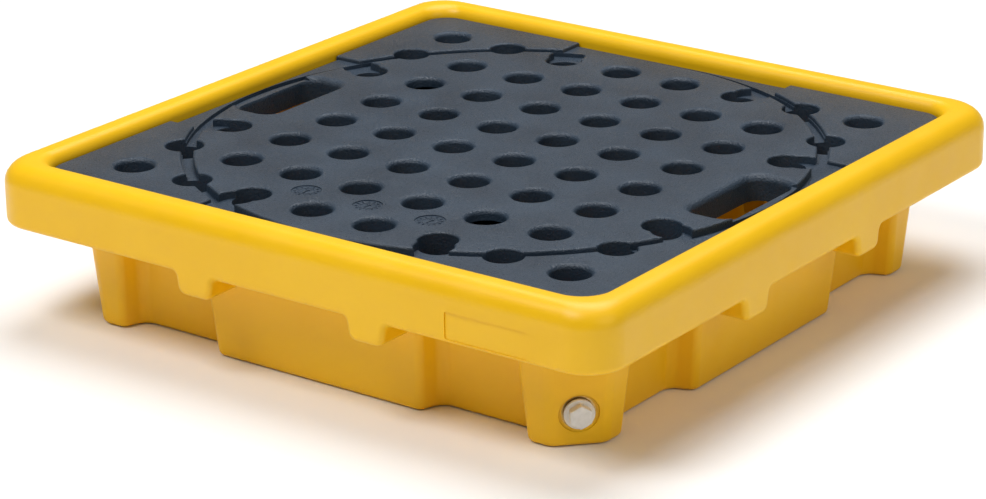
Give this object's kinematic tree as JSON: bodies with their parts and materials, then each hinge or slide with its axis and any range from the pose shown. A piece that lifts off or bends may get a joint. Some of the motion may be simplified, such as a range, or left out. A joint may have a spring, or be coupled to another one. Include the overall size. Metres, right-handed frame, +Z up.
{
  "type": "spill containment pallet",
  "caption": "Square one-drum spill containment pallet: hollow moulded tray with rounded rim and feet, lift-out perforated deck with hand slots, and a threaded drain plug in one foot.",
  "frame": {"origin": "middle of the base, at floor level", "axes": "+Z up; +X and +Y along the two pairs of sides; the drain foot is at +X -Y and the deck's hand slots are at +X and -X"},
  "size_m": [0.68, 0.68, 0.156],
  "materials": {
    "tray": "satin moulded polyethylene",
    "deck": "fine stippled moulded polyethylene",
    "insert": "machined",
    "seal": "matt",
    "plug": "satin moulded nylon"
  },
  "bodies": {
    "tray": {"sump_tray": "tray", "drain_insert": "insert"},
    "deck": {"deck_grate": "deck"},
    "seal": {"plug_seal": "seal"},
    "plug": {"drain_plug": "plug"}
  },
  "joints": [
    {"name": "deck_lift", "type": "slide", "parent": "tray", "child": "deck", "axis": [0, 0, 1], "range_m": [0, 0.06]},
    {"name": "plug_travel", "type": "slide", "parent": "tray", "child": "seal", "axis": [0.7071, -0.7071, 0], "range_m": [0, 0.0146]},
    {"name": "plug_unscrew", "type": "hinge", "parent": "seal", "child": "plug", "pos_m": [0.27082, -0.27082, 0.0315], "axis": [0.7071, -0.7071, 0], "range_deg": [0, 2880]}
  ],
  "couplings": [
    {"joint": "plug_travel", "follows": "plug_unscrew", "m_per_rad": 0.00028871}
  ]
}
